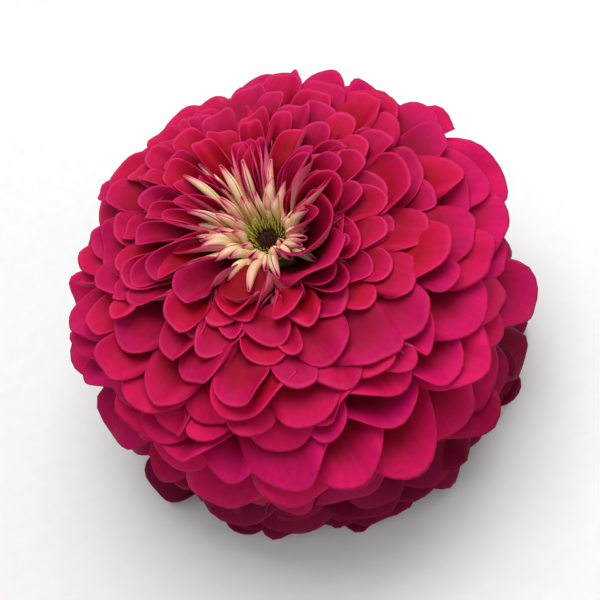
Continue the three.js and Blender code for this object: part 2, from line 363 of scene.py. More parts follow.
@dataclass(frozen=True)
class Kind:
    """One kind of blade: its key measures from the oldest to the youngest, in mm and degrees."""

    count: int
    first_step: int
    seed: int
    base_radius: Keys
    base_height: Keys
    tip_radius: Keys
    tip_height: Keys
    width: Keys
    rise: Keys  # the midrib's slope at the root
    fall: Keys  # the midrib's slope at the tip
    curl_at_base: Keys  # how far the sides of the cross-section turn up
    curl_at_tip: Keys
    twist: Keys
    claw: float  # the width at the root, as a share of the full width
    sunk: float  # how deep the root is set into what carries it
    late: Late = field(default_factory=Late)
    nudge: Nudge = field(default_factory=Nudge)
    ruffle: Keys = (0.03, 0.03)  # how high the margin's waves are, as a share of the width
    reflex: Keys = (0.0, 0.0)  # how far the lip rolls back, as a share of half the width
    notch: float = 0.0  # how deep the notch in the end is, as a share of the length
    crowding: float = 1.0  # above 1, more of the blades are old ones
    rounding: float = 1.0  # how long the rounded end is, in half widths
    taper: float = 0.0  # how much narrower the tip is, as a share
    freshest_from: float = 0.0  # the age that the finishes see on the oldest blade
    groove: float = 0.0  # how deep the groove along the midrib is, as a share of half the width
    bare: tuple[float, float] | None = None  # the directions between which it has no blades

    def blades(self) -> list[Blade]:
        """Works out every blade of this kind but for those on its bare side.

        Returns:
            The blades, from the oldest to the youngest.
        """
        blades = [self.blade(number) for number in range(self.count)]
        if self.bare is None:
            return blades
        low, high = self.bare
        return [b for b in blades if not 0 < (math.degrees(b.azimuth) - low) % 360 < high - low]

    def blade(self, number: int) -> Blade:
        """Works out all the measures of one blade.

        Args:
            number: Its place, from 0 for the oldest.

        Returns:
            The blade, with its angles in radians.
        """
        age = (number / (self.count - 1)) ** self.crowding

        def drawn(channel: int) -> float:
            """A draw of this blade's own, from -1 to 1."""
            return 2.0 * draw(number, self.seed + channel) - 1.0

        nudge = self.nudge
        turn = (self.first_step + number) * GOLDEN_ANGLE
        azimuth = math.radians(turn + nudge.azimuth * drawn(1))
        late = self.lateness(number, age, azimuth)
        cupped = drawn(7)
        width = read_keys(self.width, age) * (1.0 + nudge.width * drawn(4) + LATE_WIDTH * late)
        reach = (1.0 + nudge.reach * drawn(2)) * (1.0 + self.late.reach * late)
        tip_height = read_keys(self.tip_height, age) + nudge.height * drawn(3) + self.late.lift * late
        rise = read_keys(self.rise, age) + nudge.rise * drawn(5) + LATE_RISE * late
        fall = read_keys(self.fall, age) + nudge.fall * drawn(6) + self.late.stand * late
        curl = read_keys(self.curl_at_tip, age) + nudge.curl * cupped + self.late.curl * late
        ruffle = read_keys(self.ruffle, age) * width
        return Blade(
            age=self.freshest_from + (1.0 - self.freshest_from) * age,
            tone=draw(number, self.seed + 14),
            azimuth=azimuth,
            root=(read_keys(self.base_radius, age), read_keys(self.base_height, age)),
            tip=(read_keys(self.tip_radius, age) * reach, tip_height),
            half_width=width / 2,
            rise=math.radians(rise),
            fall=math.radians(fall),
            curl_at_base=math.radians(read_keys(self.curl_at_base, age)),
            curl_at_tip=math.radians(curl),
            twist=math.radians(read_keys(self.twist, age) * drawn(8)),
            sway=nudge.sway * drawn(9),
            claw=self.claw,
            sunk=self.sunk,
            notch=self.notch * draw(number, self.seed + 10) ** 2,
            ruffle=ruffle * (UNRUFFLED + draw(number, self.seed + 11)),
            wave=math.tau * draw(number, self.seed + 12),
            reflex=read_keys(self.reflex, age) * (1.0 - FLATTER * cupped),
            blunt=POINTED + BLUNTER * draw(number, self.seed + 16),
            groove=self.groove * draw(number, self.seed + 18),
            skew=SKEW * drawn(17),
            rounding=self.rounding,
            taper=self.taper,
        )

    def lateness(self, number: int, age: float, azimuth: float) -> float:
        """How late a blade opens, by its side of the head and its age.

        Args:
            number: The blade's number.
            age: From 0 for the oldest to 1.
            azimuth: Its direction, in radians.

        Returns:
            0 for a blade that is fully open, up to 1 for one that still stands.
        """
        facing = 0.5 + 0.5 * math.cos(azimuth - LATE_AZIMUTH)
        share = float(ease(self.late.from_age, self.late.to_age, age))
        own = LATE_LEAST + (1.0 - LATE_LEAST) * draw(number, self.seed + 13)
        return facing**LATE_POWER * share * own


@dataclass(frozen=True)
class HandShaped:
    """One floret whose measures are given one by one, in mm and degrees."""

    azimuth: float
    root: tuple[float, float]
    tip: tuple[float, float]
    width: float
    rise: float
    fall: float
    curl: tuple[float, float]
    twist: float = 0.0
    sway: float = 0.0
    age: float = 0.92
    reflex: float = 0.0
    claw: float = 0.45
    sunk: float = 0.4
    ruffle: float = 0.03  # as a share of the width
    blunt: float = 2.1
    groove: float = 0.06
    skew: float = 0.1

    def blade(self, number: int) -> Blade:
        """Turns the measures into a blade, with a few small draws of its own.

        Args:
            number: Its number, for the draws.

        Returns:
            The blade, with its angles in radians.
        """
        return Blade(
            age=self.age,
            tone=draw(number, 41),
            azimuth=math.radians(self.azimuth),
            root=self.root,
            tip=self.tip,
            half_width=self.width / 2,
            rise=math.radians(self.rise),
            fall=math.radians(self.fall),
            curl_at_base=math.radians(self.curl[0]),
            curl_at_tip=math.radians(self.curl[1]),
            twist=math.radians(self.twist),
            sway=self.sway,
            claw=self.claw,
            sunk=self.sunk,
            notch=0.0,
            ruffle=self.ruffle * self.width,
            wave=math.tau * draw(number, 42),
            reflex=self.reflex,
            blunt=self.blunt,
            groove=self.groove,
            skew=self.skew * (2.0 * draw(number, 43) - 1.0),
            rounding=1.0,
            taper=0.0,
        )


RAY = Kind(
    count=400,
    first_step=0,
    seed=0,
    base_radius=(10.5, 10.2, 9.4, 8.2, 6.6),
    base_height=(29, 34, 38.5, 42.5, 45.5),
    tip_radius=(43, 44.8, 46.2, 46.2, 44.8, 41.6, 35.8, 28.5, 22),
    tip_height=(0.8, 5.5, 17, 29, 40, 48, 53, 56, 57),
    width=(20, 23, 23.5, 22.5, 19.5, 16, 13, 10.6, 8.4),
    rise=(-46, -50, -44, -34, -20, 0, 22, 38, 50),
    fall=(-36, -30, -14, 4, 12, 14, 16, 16, 18),
    curl_at_base=(60, 62, 66, 80, 110),
    curl_at_tip=(34, 54, 62, 68, 96),
    twist=(22, 18, 18, 18, 18),
    claw=0.36,
    sunk=1.6,
    late=Late(reach=-0.22, lift=-4.0, stand=26, curl=20, from_age=0.6, to_age=0.95),
    ruffle=(0.16, 0.12, 0.08, 0.045, 0.02),
    reflex=(0.24, 0.4, 0.42, 0.34, 0.14),
    notch=0.05,
    crowding=1.2,
    groove=0.2,
)

STRAYS = (
    HandShaped(-167, (10.4, 29.5), (50.4, 3.4), 20, -40, -30, (40, 30), twist=6, age=0.2, reflex=0.1),
    HandShaped(-140, (10.4, 29.5), (46.6, 1.2), 17, -40, -26, (40, 30), twist=-8, age=0.14, reflex=0.1),
)

CUPS = (
    HandShaped(-66, (7.0, 45.6), (18.5, 57.6), 17, 40, 64, (62, 50), twist=-4, reflex=0.2),
    HandShaped(-126, (7.0, 45.4), (17.0, 54.5), 14, 6, 84, (80, 60), twist=10, age=0.9),
    HandShaped(16, (6.4, 46.2), (15.5, 58.2), 10, 62, 50, (125, 104), twist=-30),
    HandShaped(-12, (6.6, 46.0), (18.0, 57.0), 11, 56, 44, (118, 92), twist=34, sway=0.12),
    HandShaped(-48, (6.0, 46.4), (15.6, 57.0), 22, 50, 84, (100, 80), twist=-8, reflex=0.06),
)

CHANNEL = Kind(
    count=24,
    first_step=RAY.count,
    seed=70,
    base_radius=(6.4, 6.2),
    base_height=(46.2, 46.6),
    tip_radius=(20, 18, 16),
    tip_height=(57.5, 58, 57.5),
    width=(9.6, 9.0, 8.4),
    rise=(56, 60, 62),
    fall=(20, 26, 30),
    curl_at_base=(140, 145, 150),
    curl_at_tip=(104, 118, 130),
    twist=(30, 30),
    claw=0.5,
    sunk=0.3,
    late=Late(reach=-0.3, lift=-2.0, stand=20, from_age=-1, to_age=0),
    nudge=Nudge(azimuth=9, reach=0.16, height=1.0, width=0.16, fall=12, curl=16, sway=0.12),
    ruffle=(0.02, 0.02),
    rounding=1.5,
    taper=0.3,
    freshest_from=0.9,
    bare=(-185, -35),
)

YOUNG = Kind(
    count=68,
    first_step=RAY.count + CHANNEL.count,
    seed=50,
    base_radius=(6.0, 5.2, 4.3),
    base_height=(46.7, 47.2, 47.6),
    tip_radius=(16.8, 14.4, 11.4, 8.6, 6.2),
    tip_height=(57.0, 56.8, 55.6, 54.0, 52.0),
    width=(5.2, 5.0, 4.7, 4.2, 3.6),
    rise=(54, 62, 70),
    fall=(24, 34, 48),
    curl_at_base=(178, 178),
    curl_at_tip=(177, 177),
    twist=(44, 44, 40),
    claw=0.62,
    sunk=0.3,
    late=Late(reach=-0.24, lift=-4.6, stand=10, from_age=-1, to_age=0),
    nudge=Nudge(azimuth=7, reach=0.28, height=1.6, width=0.16, fall=14, curl=2, sway=0.08),
    ruffle=(0.008, 0.008),
    rounding=0.35,
    taper=0.68,
)

BRACT = Kind(
    count=40,
    first_step=0,
    seed=90,
    base_radius=(4.4, 8.0, 10.6),
    base_height=(12, 14.2, 17.6),
    tip_radius=(9.8, 12.5, 13.2),
    tip_height=(16, 21, 26.6),
    width=(8.4, 9.4, 8.8),
    rise=(16, 38, 66),
    fall=(62, 80, 91),
    curl_at_base=(26, 26, 24),
    curl_at_tip=(28, 26, 22),
    twist=(4, 4),
    claw=0.7,
    sunk=0.6,
    nudge=Nudge(azimuth=4, reach=0.012, height=0.5, width=0.08, rise=2, fall=4, curl=4, sway=0.02),
    ruffle=(0.012, 0.01),
)


# ---- finishes --------------------------------------------------------------------------------


@dataclass(frozen=True)
class Gloss:
    """How a surface takes the light, the same all over it."""

    roughness: float = 0.6
    specular: float = 0.25
    sheen: float = 0.0
    sheen_roughness: float = 0.5
    sheen_tint: Colour = (255, 255, 255)


@dataclass(frozen=True)
class Ribs:
    """Streaks along a blade: how fine they are each way, how deep, and how light and dark."""

    along: float
    across: float
    change: float  # how much they differ from blade to blade
    detail: float
    depth: float  # in metres
    strength: float
    value: tuple[float, float]


VELVET = Gloss(specular=0.07, sheen=0.06, sheen_roughness=0.4, sheen_tint=(255, 60, 130))


class Graph:
    """The node tree of one material, with short ways to add to it."""

    def __init__(self, name: str) -> None:
        """Starts a material with its plain shader.

        Args:
            name: The material's name.
        """
        self.material = bpy.data.materials.new(name)
        self.material.use_nodes = True
        self.tree = self.material.node_tree
        self.shader = self.tree.nodes["Principled BSDF"]

    def node(self, kind: str, **settings: object) -> bpy.types.Node:
        """Adds a node.

        Args:
            kind: The node's type.
            settings: The properties to set on it.

        Returns:
            The node.
        """
        made = self.tree.nodes.new(kind)
        for name, value in settings.items():
            setattr(made, name, value)
        return made

    def feed(self, socket: Socket, value: object) -> None:
        """Links a socket to another, or sets its number or colour.

        Args:
            socket: The socket that takes the value.
            value: Another socket, or a number or colour.
        """
        if isinstance(value, Socket):
            self.tree.links.new(value, socket)
        else:
            socket.default_value = value

    def wired(self, kind: str, values: tuple, **settings: object) -> Socket:
        """Adds a node and feeds its inputs in turn.

        Args:
            kind: The node's type.
            values: What its first inputs take.
            settings: The properties to set on it.

        Returns:
            Its first output.
        """
        made = self.node(kind, **settings)
        for socket, value in zip(made.inputs, values):
            self.feed(socket, value)
        return made.outputs[0]

    @cached_property
    def spread(self) -> bpy.types.Node:
        """Takes the place on a blade apart.

        Returns:
            The node that gives how far along and across the blade a point is.
        """
        parts = self.node("ShaderNodeSeparateXYZ")
        self.feed(parts.inputs[0], self.node("ShaderNodeUVMap", uv_map=PETAL_MAP).outputs[0])
        return parts

    @property
    def along(self) -> Socket:
        """How far along its blade a point is, from 0 at the root to 1."""
        return self.spread.outputs[0]

    @property
    def across(self) -> Socket:
        """How far across its blade a point is, from 0 to 1."""
        return self.spread.outputs[1]

    @cached_property
    def side(self) -> Socket:
        """How far from the midrib a point is, up to 0.5 at the blade's sides."""
        return self.math("ABSOLUTE", self.math("SUBTRACT", self.across, 0.5))

    @cached_property
    def age(self) -> Socket:
        """How young a blade is, from 0 for the oldest to 1."""
        return self.node("ShaderNodeAttribute", attribute_name="age").outputs["Fac"]

    @cached_property
    def tone(self) -> Socket:
        """A blade's own draw, from 0 to 1."""
        return self.node("ShaderNodeAttribute", attribute_name="tone").outputs["Fac"]

    @cached_property
    def place(self) -> Socket:
        """The place on the object, in metres."""
        return self.node("ShaderNodeTexCoord").outputs["Object"]

    @cached_property
    def shade(self) -> Socket:
        """Painted shade: how much darker the oldest, lowest blades are painted, for the shade that lies
        on them under the head.
        """
        return self.rescale(self.age, 0.2, 0.5, (0.36, 1.0))

    def math(self, operation: str, a: object, b: object = 0.0) -> Socket:
        """The result of one operation, which isn't clamped."""
        return self.wired("ShaderNodeMath", (a, b), operation=operation)

    def times(self, first: object, *others: object) -> Socket:
        """Multiplies numbers in turn.

        Args:
            first: The first number.
            others: The numbers that follow it.

        Returns:
            Their product.
        """
        for other in others:
            first = self.math("MULTIPLY", first, other)
        return first

    def plus(self, a: object, b: object) -> Socket:
        """Two numbers, added."""
        return self.math("ADD", a, b)

    def larger(self, a: object, b: object) -> Socket:
        """The larger of two numbers."""
        return self.math("MAXIMUM", a, b)

    def rescale(
        self, value: object, low: float, high: float, to: tuple[float, float] = (0.0, 1.0)
    ) -> Socket:
        """A value that is eased from the range of low to high into another."""
        parts = (value, low, high, *to)
        return self.wired("ShaderNodeMapRange", parts, interpolation_type="SMOOTHSTEP")

    def noise(self, place: object, scale: float, detail: float = 2.0) -> Socket:
        """Adds a cloudy pattern.

        Args:
            place: Where it is read.
            scale: How fine it is.
            detail: How many finer patterns lie over it.

        Returns:
            The pattern, from 0 to 1.
        """
        made = self.node("ShaderNodeTexNoise")
        self.feed(made.inputs["Vector"], place)
        made.inputs["Scale"].default_value = scale
        made.inputs["Detail"].default_value = detail
        return made.outputs["Fac"]

    def mottle(self, grain: float, value: tuple[float, float]) -> Socket:
        """A faint cloudy change of value, as fine as the grain."""
        return self.rescale(self.noise(self.place, grain), 0.2, 0.8, value)

    def ribbed(self, ribs: Ribs) -> Socket:
        """Gives the surface streaks and their relief.

        Args:
            ribs: What they are like.

        Returns:
            How light the colour is on them.
        """
        place = (
            self.times(self.along, ribs.along),
            self.times(self.across, ribs.across),
            self.times(self.tone, ribs.change),
        )
        streaks = self.noise(self.wired("ShaderNodeCombineXYZ", place), 1.0, ribs.detail)
        self.bump(streaks, ribs.depth, ribs.strength)
        return self.rescale(streaks, 0.2, 0.8, ribs.value)

    def ramp(self, factor: object, run: Run) -> Socket:
        """Reads a run of colours.

        Args:
            factor: The place in the run, from 0 to 1.
            run: The colours and their places.

        Returns:
            The colour.
        """
        made = self.node("ShaderNodeValToRGB")
        self.feed(made.inputs[0], factor)
        elements = made.color_ramp.elements
        elements.remove(elements[1])
        elements[0].position, elements[0].color = run[0][0], linear(run[0][1])
        for position, colour in run[1:]:
            elements.new(position).color = linear(colour)
        return made.outputs[0]

    def mix(self, factor: object, a: object, b: object) -> Socket:
        """Mixes two colours.

        Args:
            factor: The share of the second one.
            a: The first colour.
            b: The second colour.

        Returns:
            The mixed colour.
        """
        made = self.node("ShaderNodeMix", data_type="RGBA", blend_type="MIX")
        self.feed(made.inputs["Factor"], factor)
        self.feed(made.inputs["A"], a)
        self.feed(made.inputs["B"], b)
        return made.outputs["Result"]

    def tint(self, colour: object, value: object, hue: object = 0.5) -> Socket:
        """A colour with its value multiplied and its hue moved, by 0.5 for not at all."""
        return self.wired("ShaderNodeHueSaturation", (hue, 1.0, value, 1.0, colour))

    def bump(self, height: object, depth: float, strength: float = 1.0) -> None:
        """Gives the surface a relief.

        Args:
            height: The relief's height, from 0 to 1.
            depth: What 1 stands for, in metres.
            strength: How much of it shows.
        """
        made = self.node("ShaderNodeBump")
        made.inputs["Distance"].default_value = depth
        made.inputs["Strength"].default_value = strength
        self.feed(made.inputs["Height"], height)
        self.feed(self.shader.inputs["Normal"], made.outputs[0])

    def finish(self, colour: object, gloss: Gloss) -> bpy.types.Material:
        """Sets the shader's colour and gloss.

        Args:
            colour: The colour.
            gloss: How the surface takes the light.

        Returns:
            The finished material.
        """
        inputs = self.shader.inputs
        self.feed(inputs["Base Color"], colour)
        inputs["Roughness"].default_value = gloss.roughness
        inputs["Specular IOR Level"].default_value = gloss.specular
        inputs["Sheen Weight"].default_value = gloss.sheen
        inputs["Sheen Roughness"].default_value = gloss.sheen_roughness
        inputs["Sheen Tint"].default_value = linear(gloss.sheen_tint)
        return self.material


class Finish:
    """What every finish has: a name, a gloss, and a colour that its nodes work out."""

    name: str
    gloss: Gloss

    def build(self) -> bpy.types.Material:
        """Builds the material."""
        graph = Graph(self.name)
        return graph.finish(self.colour(graph), self.gloss)

    def colour(self, graph: Graph) -> Socket:
        """Adds the finish's own nodes to a graph, and gives its colour."""
        raise NotImplementedError


@dataclass(frozen=True)
class PetalFace(Finish):
    """The velvety upper side of a ray floret: dark at its root, partly painted shade where the petals
    overlap, and bright at its lip, partly a painted highlight.
    """

    name: str = "petal_face"
    # Dark towards the root: partly the petal's deep crimson, partly painted shade where the younger
    # petals overlap it.
    fresh: Run = (
        (0.0, (86, 3, 12)),
        (0.4, (114, 4, 21)),
        (0.62, (134, 6, 29)),
        (0.82, (152, 8, 38)),
        (1.0, (166, 12, 49)),
    )
    # The older petals' run: more magenta, and darker, which partly paints the shade on the lowest
    # petals.
    faded_and_shaded: Run = (
        (0.0, (72, 3, 14)),
        (0.6, (116, 5, 28)),
        (0.84, (142, 8, 42)),
        (0.93, (162, 10, 56)),
        (1.0, (172, 13, 72)),
    )
    # The lip's colour: partly the petal's own magenta margin, partly a painted highlight where the lip
    # catches the light.
    lip: Colour = (202, 15, 86)
    # The rim's colour: partly the pale edge of the petal, partly a painted highlight where the edge
    # catches the light.
    rim: Colour = (210, 64, 112)
    streaks: Ribs = Ribs(1.6, 30.0, 40.0, 3.0, 0.0001, 0.3, (0.93, 1.06))
    gloss: Gloss = VELVET

    def colour(self, graph: Graph) -> Socket:
        """Adds two runs of colour by age, dark at the root partly for painted shade, streaks, a
        brighter lip and a pale rim that are partly painted highlights, a mottle, and painted shade on
        the oldest, lowest petals.

        Args:
            graph: The material's nodes.

        Returns:
            The colour.
        """
        along, side, age = graph.along, graph.side, graph.age
        body = graph.mix(
            graph.rescale(age, 0.35, 0.75),
            graph.ramp(along, self.faded_and_shaded),
            graph.ramp(along, self.fresh),
        )
        sides = graph.times(graph.rescale(side, 0.32, 0.5), graph.rescale(along, 0.35, 0.8))
        # The brighter lip and sides, partly a painted highlight; faint on the oldest, lowest petals,
        # which lie in shade, and weaker on the youngest.
        lip = graph.times(
            graph.larger(graph.rescale(along, 0.84, 0.98), sides),
            graph.rescale(age, 0.06, 0.32, (0.1, 1.0)),
            graph.rescale(age, 0.5, 0.8, (1.0, 0.45)),
        )
        body = graph.mix(lip, body, linear(self.lip))
        # A pale rim, partly a painted highlight along the edge; faint on the older petals.
        rim = graph.times(
            graph.larger(graph.rescale(along, 0.965, 1.0), graph.rescale(side, 0.475, 0.5)),
            graph.rescale(age, 0.6, 0.9, (0.1, 0.8)),
        )
        body = graph.mix(rim, body, linear(self.rim))
        # Streaks, the petal's own tone and a mottle, times the painted shade on the oldest, lowest
        # petals.
        value = graph.times(
            graph.plus(graph.ribbed(self.streaks), graph.rescale(graph.tone, 0, 1, (-0.07, 0.07))),
            graph.rescale(graph.noise(graph.place, 700.0, 4.0), 0.25, 0.75, (0.93, 1.07)),
            graph.shade,
        )
        return graph.tint(body, value, graph.rescale(graph.tone, 0, 1, (0.492, 0.503)))


@dataclass(frozen=True)
class PetalBack(Finish):
    """The paler, pinker underside of a ray floret, ribbed along its length."""

    name: str = "petal_back"
    fresh: Run = (
        (0.0, (206, 176, 112)),
        (0.3, (206, 128, 112)),
        (0.7, (196, 82, 106)),
        (1.0, (204, 66, 108)),
    )
    # The older undersides' run is darker, which partly paints the shade on the lowest petals.
    faded_and_shaded: Run = ((0.0, (176, 140, 90)), (0.35, (170, 76, 92)), (1.0, (176, 46, 96)))
    ribs: Ribs = Ribs(1.2, 22.0, 30.0, 2.0, 0.00025, 0.8, (0.86, 1.08))
    gloss: Gloss = VELVET

    def colour(self, graph: Graph) -> Socket:
        """Adds two runs of colour by age, with long ribs and painted shade on the oldest, lowest
        petals.

        Args:
            graph: The material's nodes.

        Returns:
            The colour.
        """
        body = graph.mix(
            graph.rescale(graph.age, 0.4, 0.85),
            graph.ramp(graph.along, self.faded_and_shaded),
            graph.ramp(graph.along, self.fresh),
        )
        # The painted shade darkens the oldest, lowest undersides.
        return graph.tint(body, graph.times(graph.ribbed(self.ribs), graph.shade))


@dataclass(frozen=True)
class PetalEdge(Finish):
    """The thin edge all round a ray floret."""

    name: str = "petal_edge"
    run: Run = ((0.0, (150, 40, 56)), (0.5, (170, 20, 66)), (1.0, (200, 24, 86)))
    gloss: Gloss = VELVET

    def colour(self, graph: Graph) -> Socket:
        """One run of colour with a faint mottle, darker on the oldest, lowest petals by painted shade.
        """
        value = graph.times(graph.mottle(900.0, (0.9, 1.08)), graph.shade)
        return graph.tint(graph.ramp(graph.along, self.run), value)


@dataclass(frozen=True)
class QuillMouth(Finish):
    """The magenta inside of a young floret."""

    name: str = "quill_mouth"
    run: Run = ((0.0, (90, 16, 20)), (0.5, (136, 10, 48)), (1.0, (176, 18, 78)))
    gloss: Gloss = VELVET

    def colour(self, graph: Graph) -> Socket:
        """One run of colour with a faint mottle."""
        return graph.tint(graph.ramp(graph.along, self.run), graph.mottle(1200.0, (0.85, 1.1)))


@dataclass(frozen=True)
class QuillSkin(Finish):
    """The cream outside of a rolled young floret, greener at its root and pink at its mouth."""

    name: str = "quill_skin"
    run: Run = (
        (0.0, (190, 186, 72)),
        (0.2, (236, 216, 128)),
        (0.5, (238, 210, 152)),
        (0.8, (240, 206, 168)),
        (0.92, (230, 150, 150)),
        (1.0, (206, 48, 100)),
    )
    flush: Colour = (224, 134, 124)
    flushed: float = 0.5
    ribs: Ribs = Ribs(2.0, 14.0, 30.0, 2.0, 0.0002, 0.6, (0.86, 1.06))
    gloss: Gloss = Gloss(roughness=0.55, specular=0.3, sheen=0.05)

    def colour(self, graph: Graph) -> Socket:
        """Adds a run of colour along the quill, fine ribs, and a flush on some quills.

        Args:
            graph: The material's nodes.

        Returns:
            The colour.
        """
        flush = graph.rescale(graph.tone, 0.5, 0.9, (0.0, self.flushed))
        body = graph.mix(flush, graph.ramp(graph.along, self.run), linear(self.flush))
        own = graph.rescale(graph.tone, 0, 1, (-0.08, 0.04))
        return graph.tint(body, graph.plus(graph.ribbed(self.ribs), own))


@dataclass(frozen=True)
class ChannelBack(QuillSkin):
    """The outside of a half-open floret: cream low down, then pink."""

    name: str = "channel_back"
    run: Run = (
        (0.0, (196, 184, 96)),
        (0.25, (240, 214, 160)),
        (0.5, (238, 180, 156)),
        (0.75, (220, 118, 132)),
        (1.0, (206, 64, 106)),
    )


@dataclass(frozen=True)
class ChaffSkin(Finish):
    """The yellow-green fringe of the eye, brown at its foot."""

    name: str = "chaff"
    run: Run = (
        (0.0, (52, 28, 12)),
        (0.3, (132, 118, 34)),
        (0.65, (206, 202, 70)),
        (1.0, (240, 232, 150)),
    )
    gloss: Gloss = Gloss(specular=0.3)

    def colour(self, graph: Graph) -> Socket:
        """Adds a run of colour up each spike, with its own tone and a grain.

        Args:
            graph: The material's nodes.

        Returns:
            The colour.
        """
        own = graph.rescale(graph.tone, 0, 1, (0.75, 1.15))
        value = graph.plus(own, graph.mottle(2500.0, (-0.1, 0.1)))
        return graph.tint(graph.ramp(graph.age, self.run), value)


@dataclass(frozen=True)
class ScaleSkin(Finish):
    """A green scale of the calyx: paler at its foot, with a dark, dry margin."""

    name: str = "calyx_scale"
    run: Run = ((0.0, (128, 146, 78)), (0.5, (92, 120, 50)), (1.0, (78, 104, 44)))
    margin: Colour = (44, 26, 24)
    streaks: Ribs = Ribs(3.0, 26.0, 20.0, 3.0, 0.0002, 0.7, (0.8, 1.15))
    gloss: Gloss = Gloss(specular=0.35)

    def colour(self, graph: Graph) -> Socket:
        """Adds a run of green, streaks along the scale and a dark margin.

        Args:
            graph: The material's nodes.

        Returns:
            The colour.
        """
        along = graph.along
        sides = graph.times(graph.rescale(graph.side, 0.42, 0.5), graph.rescale(along, 0.3, 0.7))
        rim = graph.larger(graph.rescale(along, 0.86, 0.97), sides)
        body = graph.tint(graph.ramp(along, self.run), graph.ribbed(self.streaks))
        return graph.mix(rim, body, linear(self.margin))


@dataclass(frozen=True)
class Tissue(Finish):
    """A mottled, finely grained plant surface, with long streaks along one axis."""

    name: str
    dark: Colour
    light: Colour
    grain: float = 1200.0
    stretch: tuple[float, float, float] = (1.0, 1.0, 1.0)
    relief: float = 0.0001
    gloss: Gloss = Gloss(roughness=0.65, specular=0.3)

    def colour(self, graph: Graph) -> Socket:
        """Adds two colours mixed by a stretched noise, which is the relief too.

        Args:
            graph: The material's nodes.

        Returns:
            The colour.
        """
        mapping = graph.node("ShaderNodeMapping")
        graph.feed(mapping.inputs["Vector"], graph.place)
        mapping.inputs["Scale"].default_value = self.stretch
        grain = graph.noise(mapping.outputs[0], self.grain, 3.0)
        graph.bump(grain, self.relief)
        return graph.ramp(grain, ((0.3, self.dark), (0.7, self.light)))


# ---- modelling -------------------------------------------------------------------------------


def deselect() -> None:
    """Leaves nothing selected, so that the next operator acts on its own object alone."""
    bpy.ops.object.select_all(action="DESELECT")


def only(piece: Piece) -> None:
    """Selects one object and makes it the active one.

    Args:
        piece: The object.
    """
    deselect()
    piece.select_set(True)
    bpy.context.view_layer.objects.active = piece


def join(name: str, parts: list[Piece]) -> Piece:
    """Joins several objects into one.

    Args:
        name: The name of the joined piece.
        parts: The objects, which are used up.

    Returns:
        The joined piece.
    """
    only(parts[0])
    for part in parts:
        part.select_set(True)
    bpy.ops.object.join()
    piece = bpy.context.view_layer.objects.active
    piece.name = name
    piece.data.name = name
    return piece


def apply_modifier(piece: Piece, kind: str, **settings: object) -> None:
    """Adds a modifier to a piece and applies it.

    Args:
        piece: The piece.
        kind: The modifier's type.
        settings: The properties to set on it.
    """
    only(piece)
    bpy.ops.object.modifier_add(type=kind)
    modifier = piece.modifiers[-1]
    for name, value in settings.items():
        setattr(modifier, name, value)
    bpy.ops.object.modifier_apply(modifier=modifier.name)


def smooth(piece: Piece, levels: int = 1) -> None:
    """Subdivides a piece's surface and shades it smooth.

    Args:
        piece: The piece.
        levels: How often it is subdivided.
    """
    apply_modifier(piece, "SUBSURF", levels=levels, render_levels=levels)
    only(piece)
    bpy.ops.object.shade_smooth()


def copy_shaped(source: Piece, name: str, points: np.ndarray, age: object, tone: float) -> Piece:
    """Copies a modelled piece and moves the copy's points.

    Args:
        source: The piece.
        name: The copy's name.
        points: Where the points go, in metres.
        age: The number that materials read as age, one for all points or one for each.
        tone: The number that materials read as tone.

    Returns:
        The copy, with its own mesh.
    """
    mesh = source.data.copy()
    mesh.vertices.foreach_set("co", points.ravel())
    for label, value in (("age", age), ("tone", tone)):
        layer = mesh.attributes.new(label, "FLOAT", "POINT")
        layer.data.foreach_set("value", np.full(len(points), value, dtype=np.float32))
    made = bpy.data.objects.new(name, mesh)
    bpy.context.scene.collection.objects.link(made)
    return made


def point_array(piece: Piece) -> np.ndarray:
    """Reads the points of a piece's mesh.

    Args:
        piece: The piece.

    Returns:
        One row of x, y and z for each point.
    """
    spots = np.empty(len(piece.data.vertices) * 3)
    piece.data.vertices.foreach_get("co", spots)
    return spots.reshape(-1, 3)


def turned(name: str, site: Site, profile: Profile, sides: int = 28) -> Piece:
    """Turns a round body, from a disc that is extruded and resized ring by ring.

    Args:
        name: The piece's name.
        site: Where the bloom stands.
        profile: Radius and height of each ring in mm, from the bottom up.
        sides: How many sides it has.

    Returns:
        The closed body, with its place in its mesh.
    """
    deselect()
    radius, height = profile[0]
    unit = site.unit
    foot = site.axis + Vector((0, 0, height * unit))
    bpy.ops.mesh.primitive_circle_add(
        vertices=sides, radius=radius * unit, fill_type="NGON", location=foot
    )
    piece = bpy.context.object
    piece.name = name
    bpy.ops.object.mode_set(mode="EDIT")
    for next_radius, next_height in profile[1:]:
        lift = (0, 0, (next_height - height) * unit)
        bpy.ops.mesh.extrude_region_move(TRANSFORM_OT_translate={"value": lift})
        size = next_radius / radius
        centre = site.axis + Vector((0, 0, next_height * unit))
        bpy.ops.transform.resize(value=(size, size, 1), center_override=centre)
        radius, height = next_radius, next_height
    bpy.ops.mesh.select_all(action="SELECT")
    bpy.ops.mesh.normals_make_consistent(inside=False)
    bpy.ops.object.mode_set(mode="OBJECT")
    bpy.ops.object.transform_apply(location=True, rotation=True, scale=True)
    return piece


def dress(piece: Piece, finishes: list[Finish]) -> None:
    """Gives a piece its materials.

    Args:
        piece: The piece.
        finishes: Its finishes, in slot order.
    """
    piece.data.materials.clear()
    for finish in finishes:
        piece.data.materials.append(finish.build())


def hand_over(piece: Piece, node: str) -> None:
    """Tells the frame what a finished piece stands for, and reports it.

    Args:
        piece: The piece.
        node: The CAD node that it replaces.
    """
    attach(piece, BODY)
    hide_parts(node)
    LOG.info("%s: %d faces, for %s", piece.name, len(piece.data.polygons), node)


# ---- blades ----------------------------------------------------------------------------------

